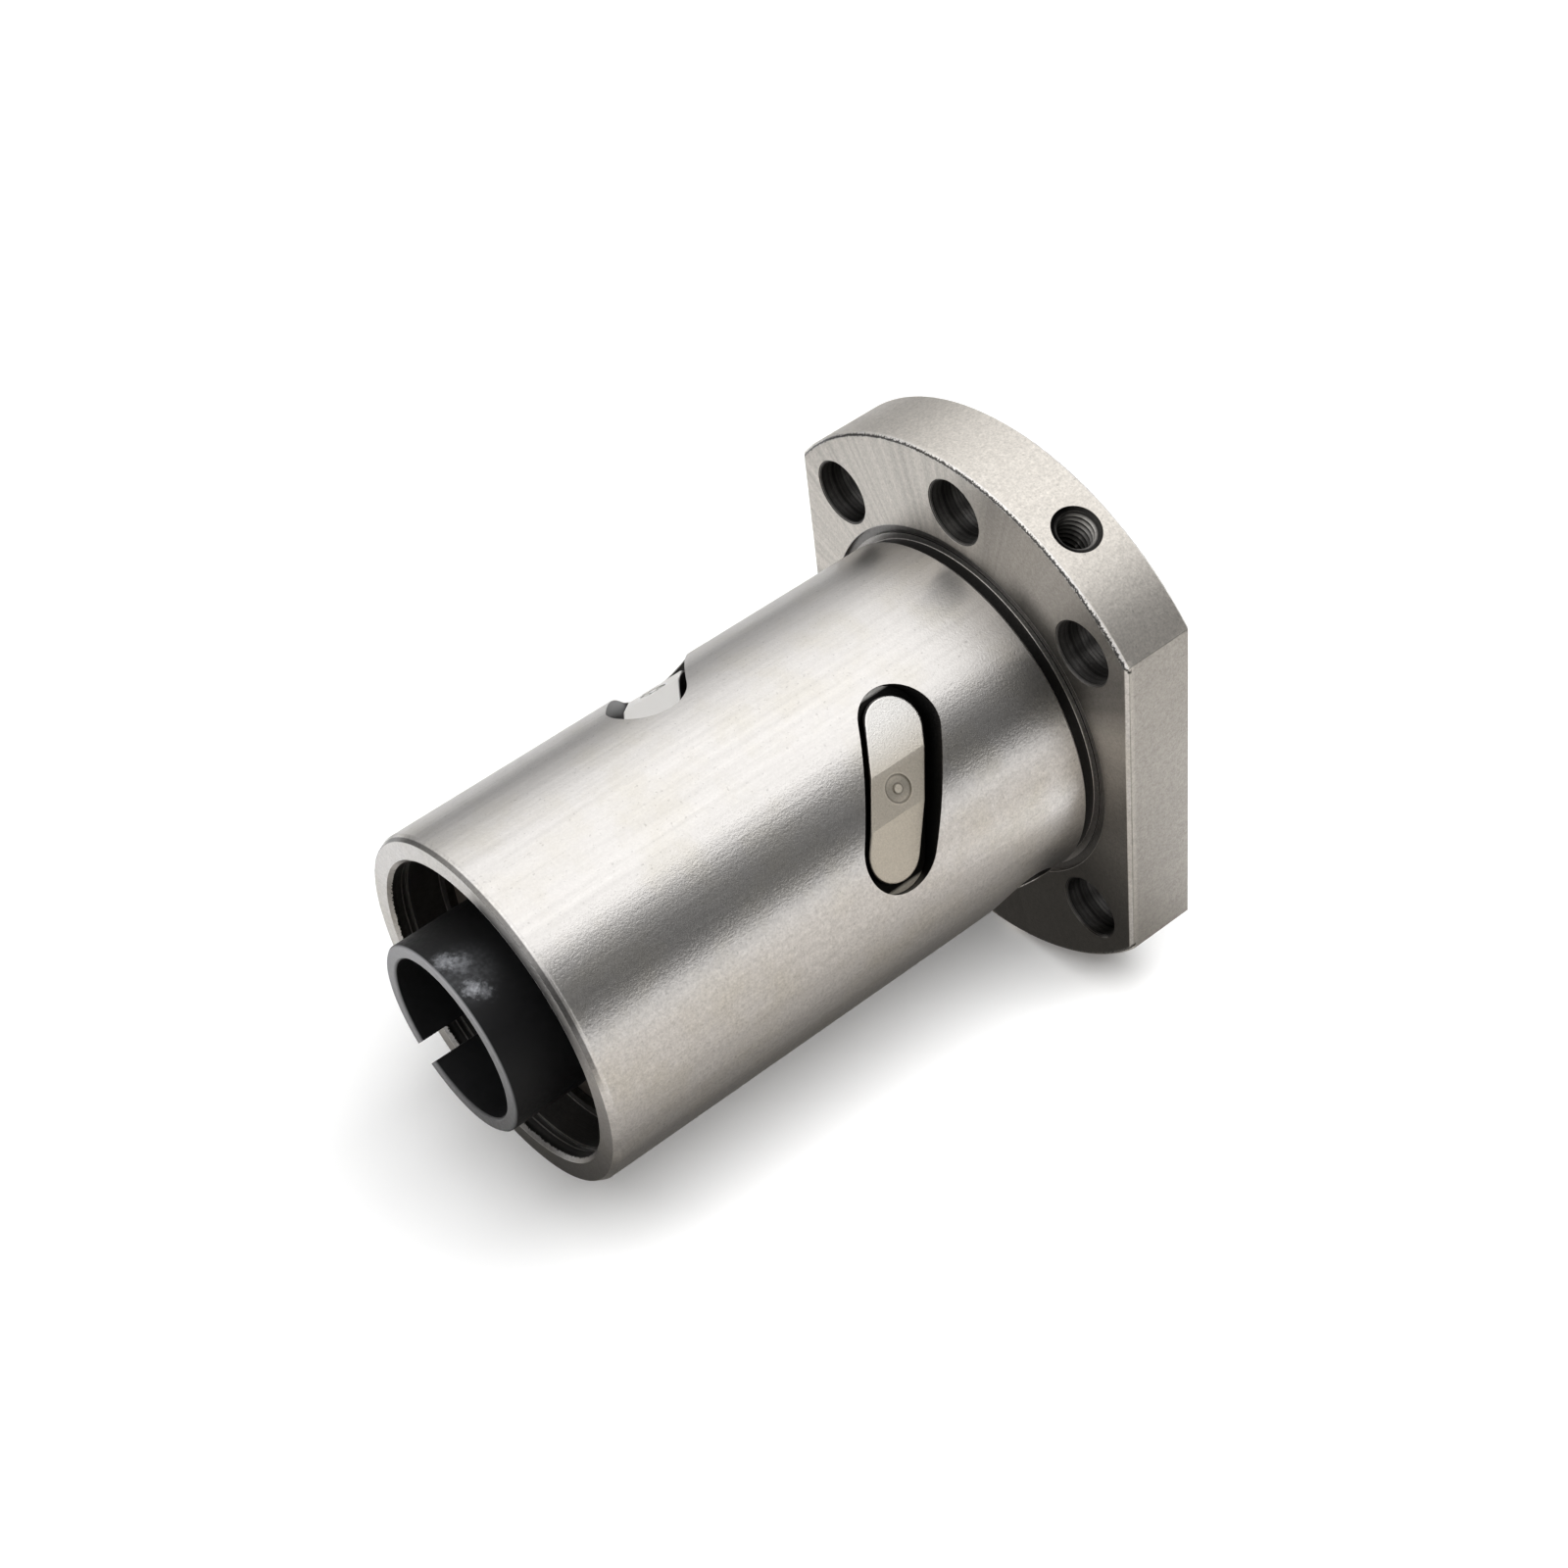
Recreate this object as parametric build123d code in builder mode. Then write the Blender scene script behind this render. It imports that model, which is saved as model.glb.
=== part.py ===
from build123d import *
import os
from math import ceil, cos, floor, pi, radians, sin, sqrt

# Flanged ball screw nut with internal ball return, millimetres. The origin is on the
# nut's axis in the plane of the flange's mounting face, and X runs from there to the
# free end. Angles about the axis are measured from +Y towards +Z.

# Screw that the nut runs on, and its balls
screw_diameter = 32.0
lead = 10.0
ball_diameter = 6.35
ball_circle_rise = 1.4
land_clearance = 0.35
track_clearance = 0.05
gothic_offset = 0.18

# Nut body
body_diameter = 50.0
body_length = 79.0
flange_diameter = 80.0
flange_thickness = 11.0
across_flats = 62.0
flange_chamfer = 0.5
end_chamfer_length = 1.0
end_chamfer_depth = 0.5
land_chamfer = 1.0

# Undercut at the flange root: a groove round the body and a ring in the face
root_groove_width = 2.0
root_groove_depth = 0.5
face_ring_gap = 0.4
face_ring_width = 1.1
face_ring_depth = 0.6

# Fastening and lubrication
bolt_circle = 65.0
bolt_hole_diameter = 9.0
bolt_angles = (45, 90, 135, 225, 270, 315)
bolt_hole_chamfer = 0.3
port_diameter = 6.0
port_depth = 10.0
port_angle = 65.0
port_chamfer = 0.4
oilway_diameter = 3.0
oilway_exit_x = 3.0

# Counterbores that hold the wipers, and what keeps the wipers in
mouth_chamfer = 0.5
wiper_thickness = 4.0
wiper_height = 5.25
ring_thickness = 1.1
ring_groove_width = 1.2
ring_groove_depth = 0.6
ring_height = 1.6
ring_gap_width = 8.0
ring_gap_angle = 60.0
wiper_fit = 0.05
wiper_thread_clearance = 0.1
wiper_rib_clearance = 0.325
free_mouth_depth = 7.6
flange_mouth_depth = 1.0
mouth_groove_x = 2.0
mouth_groove_width = 0.7
mouth_groove_depth = 0.3

# Ball circuits: single turns, each closed by one deflector. The first lies at this share
# of the room that the circuits leave between the wiper seats
circuits = 4
turns_between_circuits = 1.25
first_circuit_share = 0.567
first_circuit_angle = -50.7
pickup_angle = 26.0
crest_clearance = 0.25
ball_gap = 0.03

# Deflectors and the pockets they are set in
pocket_length = 26.2
pocket_width = 10.8
pocket_slant = 31.5
deflector_fit = 0.1
saddle_thickness = 4.05
roof_thickness = 0.65
face_length = 23.4
face_width = 7.6
facet_angle = 14.0
face_rounding = 0.25
channel_clearance = 0.15
channel_drop = 6.0
gate_mark_diameter = 3.7
gate_mark_depth = 0.15
gate_pip_diameter = 1.2

# Shipping arbor: a slit tube that takes the screw's place
arbor_proud_free_end = 6.2
arbor_proud_flange_end = 6.2
arbor_wall = 2.0
arbor_clearance = 0.075
arbor_slit_width = 3.0
arbor_slit_angle = -131.0
arbor_rounding = 0.3

# Sizes worked out from those above
ball_radius = ball_diameter / 2
body_radius = body_diameter / 2
path_radius = (screw_diameter + ball_circle_rise) / 2
crest_radius = screw_diameter / 2 + ball_radius + crest_clearance
land_radius = screw_diameter / 2 + land_clearance
wiper_bore = screw_diameter / 2 + wiper_thread_clearance
wiper_radius = wiper_bore + wiper_height
rib_radius = ball_radius - wiper_rib_clearance
seat_radius = wiper_radius + wiper_fit
groove_radius = seat_radius + ring_groove_depth
track_radius = ball_radius + track_clearance + gothic_offset * sin(pi / 4)
channel_radius = ball_radius + channel_clearance
shoulder_height = land_radius + saddle_thickness
face_height = crest_radius + channel_radius + roof_thickness
rear_face = -flange_thickness
rear_ring_x = rear_face + flange_mouth_depth
rear_wiper_x = rear_ring_x + ring_groove_width
rear_seat_x = rear_wiper_x + wiper_thickness
front_ring_x = body_length - free_mouth_depth - ring_groove_width
front_seat_x = front_ring_x - wiper_thickness
circuits_span = (circuits - 1) * turns_between_circuits * lead
spare_room = front_seat_x - rear_seat_x - circuits_span
first_circuit_x = rear_seat_x + first_circuit_share * spare_room
pocket_floor = land_radius / 3

# Half profiles are drawn below the axis, so that their seams lie clear of the pockets
profile_plane = Plane(origin=(0, 0, 0), x_dir=(1, 0, 0), z_dir=(0, 1, 0))

os.makedirs("parts", exist_ok=True)


def circuit_place(number):
    """Where circuit 0, 1, 2 ... lies: each further along and round on the same helix."""
    turn = number * turns_between_circuits
    x = first_circuit_x + turn * lead
    return Location((x, 0, 0), (first_circuit_angle + turn * 360, 0, 0))


def path_point(angle):
    """Ball centre on a circuit round X, its crossing at angle 0, for -180 to 180 degrees.

    Within the pick-up angle the path swings back by one lead in a smooth S and rises
    over the screw's crest; elsewhere it lies on the helix."""
    u = max(-1.0, min(1.0, angle / pickup_angle))
    swing = (3 * u - u**3) / 2
    rise = (1 - u * u) ** 2
    radius = path_radius + (crest_radius - path_radius) * rise
    x = lead * angle / 360 - swing * lead / 2
    return Vector(x, radius * cos(radians(angle)), radius * sin(radians(angle)))


def path_frame(angle):
    """Plane square to the ball path, its y axis away from the screw."""
    point = path_point(angle)
    along = (path_point(angle + 0.05) - path_point(angle - 0.05)).normalized()
    outward = Vector(0, point.Y, point.Z).normalized()
    return Plane(origin=point, x_dir=outward.cross(along), z_dir=along)


def ball_centres():
    """Centres of one circuit's balls, each set on the path as soon as it is clear of the
    last one and of the first: those in the loaded turn, those in the deflector."""
    pitch = ball_diameter + ball_gap
    first = path_point(pickup_angle)
    loaded, returning = [first], []
    last = first
    steps = 3600
    for step in range(1, steps):
        angle = pickup_angle + 360 * step / steps
        angle = angle if angle <= 180 else angle - 360
        point = path_point(angle)
        if min((point - last).length, (point - first).length) >= pitch:
            last = point
            group = returning if abs(angle) < pickup_angle else loaded
            group.append(point)
    return loaded, returning


def turn_places(start_x, end_x, reach):
    """Where the single turns of thread lie that pass between two planes across X."""
    zero_x = first_circuit_x - lead / 2
    angle = radians(first_circuit_angle)
    first = floor((start_x - reach - zero_x) / lead)
    last = ceil((end_x + reach - zero_x) / lead)
    planes = [
        Plane(
            origin=(zero_x + number * lead, 0, 0),
            x_dir=(0, cos(angle), sin(angle)),
            z_dir=(1, 0, 0),
        )
        for number in range(first, last)
    ]
    return [plane.location for plane in planes]


# One turn of the ball track, along Z: a pointed arch of two arcs, swept on a helix
arch_reach = sqrt(track_radius**2 - gothic_offset**2)
arch_half_width = track_radius - gothic_offset
with BuildPart() as track_turn:
    with BuildLine() as turn_path:
        Helix(lead, lead, path_radius)
    turn_start = Plane(
        origin=turn_path.line @ 0, x_dir=(1, 0, 0), z_dir=turn_path.line % 0
    )
    with BuildSketch(turn_start):
        with BuildLine():
            ThreePointArc((-arch_reach, 0), (0, arch_half_width), (arch_reach, 0))
            ThreePointArc((arch_reach, 0), (0, -arch_half_width), (-arch_reach, 0))
        make_face()
    sweep(path=turn_path.line, is_frenet=True)

# One turn of the wipers' rib, on the same helix
with BuildPart() as rib_turn:
    with BuildSketch(turn_start):
        Circle(rib_radius)
    sweep(path=turn_path.line, is_frenet=True)

# Pocket for a deflector, facing +Y: a slot milled straight in, slanted across the track
slant = radians(pocket_slant)
insert_frame = Plane(
    origin=(0, 0, 0), x_dir=(-sin(slant), 0, cos(slant)), z_dir=(0, 1, 0)
)
with BuildPart() as pocket:
    with BuildSketch(insert_frame.offset(pocket_floor)):
        SlotOverall(pocket_length, pocket_width)
    extrude(amount=body_radius)

# Nut body
with BuildPart() as nut_body:
    with BuildSketch(Plane.YZ.offset(rear_face)):
        Circle(flange_diameter / 2)
        Rectangle(across_flats, flange_diameter, mode=Mode.INTERSECT)
    extrude(amount=flange_thickness)
    flange_faces = nut_body.faces().filter_by(Axis.X)
    chamfer(flange_faces.edges(), length=flange_chamfer)

    # Ground body with the groove at its root and the lead-in at its free end
    root_radius = body_radius - root_groove_depth
    with BuildSketch(profile_plane):
        with BuildLine():
            Polyline(
                (rear_face / 2, 0),
                (rear_face / 2, root_radius),
                (root_groove_width - root_groove_depth, root_radius),
                (root_groove_width, body_radius),
                (body_length - end_chamfer_length, body_radius),
                (body_length, body_radius - end_chamfer_depth),
                (body_length, 0),
                close=True,
            )
        make_face()
    revolve(axis=Axis.X)

    face_ring_inner = body_radius + face_ring_gap
    with BuildSketch(Plane.YZ):
        Circle(face_ring_inner + face_ring_width)
        Circle(face_ring_inner, mode=Mode.SUBTRACT)
    extrude(amount=-face_ring_depth, mode=Mode.SUBTRACT)

    # Bore with its land, the two wiper seats, the ring grooves and a groove near the mouth
    mouth_groove_end = body_length - mouth_groove_x
    mouth_groove_start = mouth_groove_end - mouth_groove_width
    mouth_groove_radius = seat_radius + mouth_groove_depth
    with BuildSketch(profile_plane):
        with BuildLine():
            Polyline(
                (rear_face, 0),
                (rear_face, seat_radius + mouth_chamfer),
                (rear_face + mouth_chamfer, seat_radius),
                (rear_ring_x, seat_radius),
                (rear_ring_x, groove_radius),
                (rear_wiper_x, groove_radius),
                (rear_wiper_x, seat_radius),
                (rear_seat_x, seat_radius),
                (rear_seat_x, land_radius + land_chamfer),
                (rear_seat_x + land_chamfer, land_radius),
                (front_seat_x - land_chamfer, land_radius),
                (front_seat_x, land_radius + land_chamfer),
                (front_seat_x, seat_radius),
                (front_ring_x, seat_radius),
                (front_ring_x, groove_radius),
                (front_ring_x + ring_groove_width, groove_radius),
                (front_ring_x + ring_groove_width, seat_radius),
                (mouth_groove_start, seat_radius),
                (mouth_groove_start, mouth_groove_radius),
                (mouth_groove_end, mouth_groove_radius),
                (mouth_groove_end, seat_radius),
                (body_length - mouth_chamfer, seat_radius),
                (body_length, seat_radius + mouth_chamfer),
                (body_length, 0),
                close=True,
            )
        make_face()
    revolve(axis=Axis.X, mode=Mode.SUBTRACT)

    # Bolt holes, chamfered on both faces
    bolt_radius = bolt_hole_diameter / 2
    bolt_places = [
        (
            bolt_circle / 2 * cos(radians(angle)),
            bolt_circle / 2 * sin(radians(angle)),
        )
        for angle in bolt_angles
    ]
    with BuildSketch(Plane.YZ.offset(rear_face)):
        with Locations(*bolt_places):
            Circle(bolt_radius)
    extrude(amount=flange_thickness, mode=Mode.SUBTRACT)
    hole_rims = nut_body.edges().filter_by(
        lambda edge: edge.geom_type == GeomType.CIRCLE
        and abs(edge.radius - bolt_radius) < 0.01
    )
    chamfer(hole_rims, length=bolt_hole_chamfer)

    # Lubrication port in the flange's rim, with a slanted oilway into the track
    port_turn = radians(port_angle)
    port_out = Vector(0, cos(port_turn), sin(port_turn))
    port_mouth = port_out * (flange_diameter / 2) + Vector(rear_face / 2, 0, 0)
    port_bottom = port_mouth - port_out * port_depth
    oilway_exit = port_out * path_radius + Vector(oilway_exit_x, 0, 0)
    with BuildSketch(Plane(origin=port_mouth, z_dir=port_out)):
        Circle(port_diameter / 2)
    extrude(amount=-port_depth, mode=Mode.SUBTRACT)
    with BuildSketch(Plane(origin=port_mouth, z_dir=port_out)):
        Circle(port_diameter / 2 + port_chamfer)
    extrude(amount=-port_chamfer, taper=45, mode=Mode.SUBTRACT)
    with BuildSketch(Plane(origin=port_bottom, z_dir=oilway_exit - port_bottom)):
        Circle(oilway_diameter / 2)
    extrude(amount=(oilway_exit - port_bottom).length, mode=Mode.SUBTRACT)

    # Ball track and the pockets across it
    with Locations(*turn_places(rear_seat_x, front_seat_x, track_radius)):
        add(track_turn.part, mode=Mode.SUBTRACT)
    with Locations(*[circuit_place(number) for number in range(circuits)]):
        add(pocket.part, mode=Mode.SUBTRACT)

nut_body.part.label = "nut_body"
export_step(nut_body.part, "parts/nut_body.step")

# Deflector, facing +Y: a saddle that fills the pocket, a narrow crown with three flats,
# and an S-shaped channel that lifts the balls over the screw's crest
channel_reach = 58
channel_sections = 16
with BuildPart() as deflector:
    with BuildSketch(insert_frame.offset(pocket_floor)):
        SlotOverall(
            pocket_length - 2 * deflector_fit, pocket_width - 2 * deflector_fit
        )
    extrude(amount=shoulder_height - pocket_floor)
    with BuildSketch(insert_frame.offset(pocket_floor)):
        SlotOverall(face_length, face_width)
    extrude(amount=face_height - pocket_floor)
    for angle in (-facet_angle, facet_angle):
        outward = Vector(0, cos(radians(angle)), sin(radians(angle)))
        split(
            bisect_by=Plane(origin=outward * face_height, z_dir=outward),
            keep=Keep.BOTTOM,
        )
    crown = deflector.faces().filter_by(
        lambda face: face.center().Y > shoulder_height + 0.1
        and face.normal_at().Y > 0.9
    )
    crown_sides = deflector.faces().filter_by(
        lambda face: face.center().Y > shoulder_height and face not in crown
    )
    crown_rim = [edge for edge in crown.edges() if edge in crown_sides.edges()]
    fillet(crown_rim, radius=face_rounding)
    with BuildSketch(Plane.YZ.offset(-pocket_length)):
        Circle(land_radius)
    extrude(amount=2 * pocket_length, mode=Mode.SUBTRACT)

    for step in range(channel_sections + 1):
        turn = channel_reach * (2 * step / channel_sections - 1)
        with BuildSketch(path_frame(turn)):
            with BuildLine():
                Polyline(
                    (-channel_radius, 0),
                    (-channel_radius, -channel_drop),
                    (channel_radius, -channel_drop),
                    (channel_radius, 0),
                )
                ThreePointArc(
                    (channel_radius, 0), (0, channel_radius), (-channel_radius, 0)
                )
            make_face()
    loft(mode=Mode.SUBTRACT)

    with BuildSketch(Plane.XZ.offset(-face_height)):
        Circle(gate_mark_diameter / 2)
        Circle(gate_pip_diameter / 2, mode=Mode.SUBTRACT)
    extrude(amount=gate_mark_depth, mode=Mode.SUBTRACT)

for number in range(circuits):
    placed = deflector.part.moved(circuit_place(number))
    placed.label = f"deflector_{number + 1}"
    export_step(placed, f"parts/{placed.label}.step")

# Balls of one circuit, each a solid of its own
loaded_centres, return_centres = ball_centres()
with BuildPart() as loaded_balls:
    with Locations(*loaded_centres):
        Sphere(ball_radius)
with BuildPart() as return_balls:
    with Locations(*return_centres):
        Sphere(ball_radius)

for number in range(circuits):
    for train, name in ((loaded_balls, "loaded"), (return_balls, "return")):
        placed = train.part.moved(circuit_place(number))
        placed.label = f"balls_{name}_{number + 1}"
        export_step(placed, f"parts/{placed.label}.step")

# Wipers: rings whose bore follows the screw, with a rib that runs in its thread
for name, wiper_x in (
    ("wiper_flange_end", rear_wiper_x),
    ("wiper_free_end", front_seat_x),
):
    with BuildPart() as wiper:
        with BuildSketch(Plane.YZ.offset(wiper_x)):
            Circle(wiper_radius)
            Circle(wiper_bore, mode=Mode.SUBTRACT)
        extrude(amount=wiper_thickness)
        wiper_end_x = wiper_x + wiper_thickness
        with Locations(*turn_places(wiper_x, wiper_end_x, rib_radius)):
            add(rib_turn.part)
        split(bisect_by=Plane.YZ.offset(wiper_x), keep=Keep.TOP)
        split(bisect_by=Plane.YZ.offset(wiper_end_x), keep=Keep.BOTTOM)
    wiper.part.label = name
    export_step(wiper.part, f"parts/{name}.step")

# Retaining rings: flat split rings, sprung into the grooves behind the wipers
ring_side_play = (ring_groove_width - ring_thickness) / 2
for name, groove_x in (
    ("retaining_ring_flange_end", rear_ring_x),
    ("retaining_ring_free_end", front_ring_x),
):
    with BuildPart() as ring:
        with BuildSketch(Plane.YZ.offset(groove_x + ring_side_play)):
            Circle(groove_radius - wiper_fit)
            Circle(groove_radius - wiper_fit - ring_height, mode=Mode.SUBTRACT)
            with PolarLocations(groove_radius, 1, ring_gap_angle):
                Rectangle(4 * ring_height, ring_gap_width, mode=Mode.SUBTRACT)
        extrude(amount=ring_thickness)
    ring.part.label = name
    export_step(ring.part, f"parts/{name}.step")

# Shipping arbor
arbor_radius = path_radius - ball_radius - arbor_clearance
arbor_start_x = rear_face - arbor_proud_flange_end
arbor_end_x = body_length + arbor_proud_free_end
with BuildPart() as shipping_arbor:
    with BuildSketch(Plane.YZ.offset(arbor_start_x)):
        Circle(arbor_radius)
        Circle(arbor_radius - arbor_wall, mode=Mode.SUBTRACT)
        with PolarLocations(arbor_radius, 1, arbor_slit_angle):
            Rectangle(4 * arbor_wall, arbor_slit_width, mode=Mode.SUBTRACT)
    extrude(amount=arbor_end_x - arbor_start_x)
    arbor_rims = shipping_arbor.faces().filter_by(Axis.X).edges()
    chamfer(arbor_rims.filter_by(GeomType.CIRCLE), length=arbor_rounding)
shipping_arbor.part.label = "shipping_arbor"
export_step(shipping_arbor.part, "parts/shipping_arbor.step")
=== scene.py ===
import math
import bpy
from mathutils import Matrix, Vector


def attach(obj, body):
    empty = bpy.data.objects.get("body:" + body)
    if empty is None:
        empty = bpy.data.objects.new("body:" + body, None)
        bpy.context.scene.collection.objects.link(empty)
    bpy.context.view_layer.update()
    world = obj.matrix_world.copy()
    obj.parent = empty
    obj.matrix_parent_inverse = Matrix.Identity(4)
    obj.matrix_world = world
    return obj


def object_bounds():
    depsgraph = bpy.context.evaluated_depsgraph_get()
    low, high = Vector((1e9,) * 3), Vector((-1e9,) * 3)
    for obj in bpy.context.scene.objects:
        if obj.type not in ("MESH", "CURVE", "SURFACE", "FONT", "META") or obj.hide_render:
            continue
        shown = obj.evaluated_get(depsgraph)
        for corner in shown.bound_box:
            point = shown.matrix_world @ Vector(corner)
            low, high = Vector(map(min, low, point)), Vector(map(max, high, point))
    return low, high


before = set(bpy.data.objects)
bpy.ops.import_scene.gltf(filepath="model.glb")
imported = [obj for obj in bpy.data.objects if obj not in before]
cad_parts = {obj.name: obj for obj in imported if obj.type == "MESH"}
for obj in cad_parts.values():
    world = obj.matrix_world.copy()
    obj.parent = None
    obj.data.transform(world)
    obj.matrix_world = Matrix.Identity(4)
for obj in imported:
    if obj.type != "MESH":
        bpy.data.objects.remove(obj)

from types import SimpleNamespace

import bpy
import numpy as np
from mathutils import Matrix, Vector

cad_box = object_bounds()

MM = 0.001

# Where the nut's features lie, in millimetres: X is the nut's axis, +X its free end
BODY_RADIUS = 25.0
BODY_END = 79.0
FLANGE_RADIUS = 40.0
FLANGE_BACK = -11.0
HALF_FLATS = 31.0
FACE_RADIUS = 39.4
UNDERCUT_RADIUS = 26.6
GROUND_START = 0.3
ROOT_GROOVE_END = 1.62
END_FACE_INNER = 22.0
END_FACE_OUTER = 24.4
BOLT_RADIUS = 4.5
BOLT_CIRCLE_RADIUS = 32.5

# Pockets of the deflectors: how far they reach along the body
POCKETS_START = 2.2
POCKETS_END = 68.9

# The free end's counterbore, from the wiper's face to the mouth, and its two grooves
SEAT_RADIUS = 21.4
WIPER_FACE = 69.0
RING_GROOVE_END = 71.4
MOUTH_GROOVE_START = 76.3
MOUTH_GROOVE_END = 77.0

# Lubrication port, its direction from the axis, how far from the axis its wall is looked
# for, and its M6 thread
PORT_X = -5.5
PORT_ANGLE = math.radians(65.0)
PORT_OUTWARD = (0.0, math.cos(PORT_ANGLE), math.sin(PORT_ANGLE))
PORT_SIDEWAYS = (0.0, -math.sin(PORT_ANGLE), math.cos(PORT_ANGLE))
PORT_RADIUS = 3.0
PORT_WALL_FROM = 26.0
PORT_WALL_TO = 42.0
THREAD_TOP = FLANGE_RADIUS - 0.35
THREAD_BOTTOM = 30.6
THREAD_PITCH = 1.0
THREAD_CREST = 2.5
THREAD_ROOT = 3.02
THREAD_BACK = 3.12

# The round marks on the deflectors' faces: directions from +Y towards +Z, in degrees
MARK_ANGLES = (-50.7, 39.3, 129.3, 219.3)
MARK_RADIUS = 23.3
FIRST_MARK_X = 14.19
MARK_STEP = 12.5

# The arbor: its middle along X, and how far from there its sawn ends start and are whole
ARBOR_MIDDLE = 34.0
SAWN_FROM = 50.9
SAWN_WHOLE = 51.15

# How far under its nominal place a surface still counts as that surface
SKIN = 0.08

# A radius inside the bore, and a distance past every surface of the nut
WITHIN_BORE = 10.0
BEYOND = 90.0

# Settings of nodes, with the output that is read
LENGTH = {"operation": "LENGTH", "output": "Value"}
DISTANCE = {"operation": "DISTANCE", "output": "Value"}
DOT_PRODUCT = {"operation": "DOT_PRODUCT", "output": "Value"}
COLOURS = {"data_type": "RGBA", "output": 2}


def linear(code):
    """sRGB hex to linear RGBA: each channel is (c / 12.92) below 0.04045, else
    ((c + 0.055) / 1.055) to the power 2.4."""
    channels = np.array([int(code[i : i + 2], 16) for i in (1, 3, 5)]) / 255.0
    low = channels / 12.92
    high = ((channels + 0.055) / 1.055) ** 2.4
    return (*np.where(channels <= 0.04045, low, high).tolist(), 1.0)


def add(tree, kind, inputs=None, output=0, **settings):
    """Adds one node with its settings, sets or links its inputs, returns an output."""
    made = tree.nodes.new(kind)
    for name, value in settings.items():
        setattr(made, name, value)
    for key, value in (inputs or {}).items():
        if isinstance(value, bpy.types.NodeSocket):
            tree.links.new(value, made.inputs[key])
        else:
            made.inputs[key].default_value = value
    return made.outputs[output]


def end_with(tree, surface, kind="ShaderNodeOutputMaterial"):
    """Ends a tree with its output, fed by that surface."""
    end = tree.nodes.new(kind)
    tree.links.new(surface, end.inputs["Surface"])


def empty_material(name):
    """A node material with nothing in it yet, and its tree."""
    material = bpy.data.materials.new(name)
    material.use_nodes = True
    material.node_tree.nodes.clear()
    return material, material.node_tree


def shaded_material(name):
    """A material with its shader and Object coordinates in millimetres, ready for its
    pattern."""
    material, tree = empty_material(name)
    shader = tree.nodes.new("ShaderNodeBsdfPrincipled")
    end_with(tree, shader.outputs["BSDF"])
    place = add(tree, "ShaderNodeTexCoord", output="Object")
    mm = add(tree, "ShaderNodeVectorMath", {0: place, "Scale": 1 / MM}, operation="SCALE")
    return material, tree, shader, mm


def folded(tree, operation, values):
    """Values taken together, one after another, by that operation."""
    result, *others = values
    for value in others:
        result = add(tree, "ShaderNodeMath", {0: result, 1: value}, operation=operation)
    return result


def all_of(tree, *masks):
    """A mask that is 1 where every one of these is."""
    return folded(tree, "MULTIPLY", masks)


def any_of(tree, *masks):
    """A mask that is 1 where any of these is."""
    return folded(tree, "MAXIMUM", masks)


def between(tree, value, low, high, edge=0.03):
    """1 where the value lies between low and high, 0 outside, with soft edges."""
    over = add(tree, "ShaderNodeMapRange", {0: value, 1: low - edge, 2: low + edge})
    under = add(tree, "ShaderNodeMapRange", {0: value, 1: high + edge, 2: high - edge})
    return all_of(tree, over, under)


def uneven(tree, place, fineness, detail, roughness):
    """An uneven pattern on those coordinates, its features about 1 / fineness of their
    unit long on each axis."""
    drawn = add(tree, "ShaderNodeVectorMath", {0: place, 1: fineness}, operation="MULTIPLY")
    values = {"Vector": drawn, "Scale": 1.0, "Detail": detail, "Roughness": roughness}
    return add(tree, "ShaderNodeTexNoise", values)


def levelled(tree, tone, mask, level):
    """Tone multiplied by the level where the mask is 1."""
    factor = add(tree, "ShaderNodeMapRange", {0: mask, 3: 1.0, 4: level})
    return add(tree, "ShaderNodeMath", {0: tone, 1: factor}, operation="MULTIPLY")


def patterned(tree, tone, pattern, mask):
    """Tone multiplied by the pattern where the mask is 1. Elsewhere the pattern can only
    lighten it."""
    plain = add(tree, "ShaderNodeMapRange", {0: mask, 3: 1.0, 4: 0.0})
    return folded(tree, "MULTIPLY", (tone, any_of(tree, pattern, plain)))


def nut_places(tree, mm):
    """Where a point lies on the nut, in millimetres, and which way it lies from the axis,
    as its share of the radius toward +Y and toward +Z."""
    x, y, z = [add(tree, "ShaderNodeSeparateXYZ", {0: mm}, output=axis) for axis in "XYZ"]
    across = add(tree, "ShaderNodeCombineXYZ", {1: y, 2: z})
    spread = add(tree, "ShaderNodeVectorMath", {0: across}, operation="NORMALIZE")
    toward_y, toward_z = [
        add(tree, "ShaderNodeSeparateXYZ", {0: spread}, output=axis) for axis in "YZ"
    ]
    return SimpleNamespace(
        mm=mm,
        x=x,
        y=y,
        z=z,
        side=add(tree, "ShaderNodeMath", {0: y}, operation="ABSOLUTE"),
        height=add(tree, "ShaderNodeMath", {0: z}, operation="ABSOLUTE"),
        radius=add(tree, "ShaderNodeVectorMath", {0: across}, **LENGTH),
        spread=spread,
        toward_y=toward_y,
        toward_z=toward_z,
    )


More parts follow.
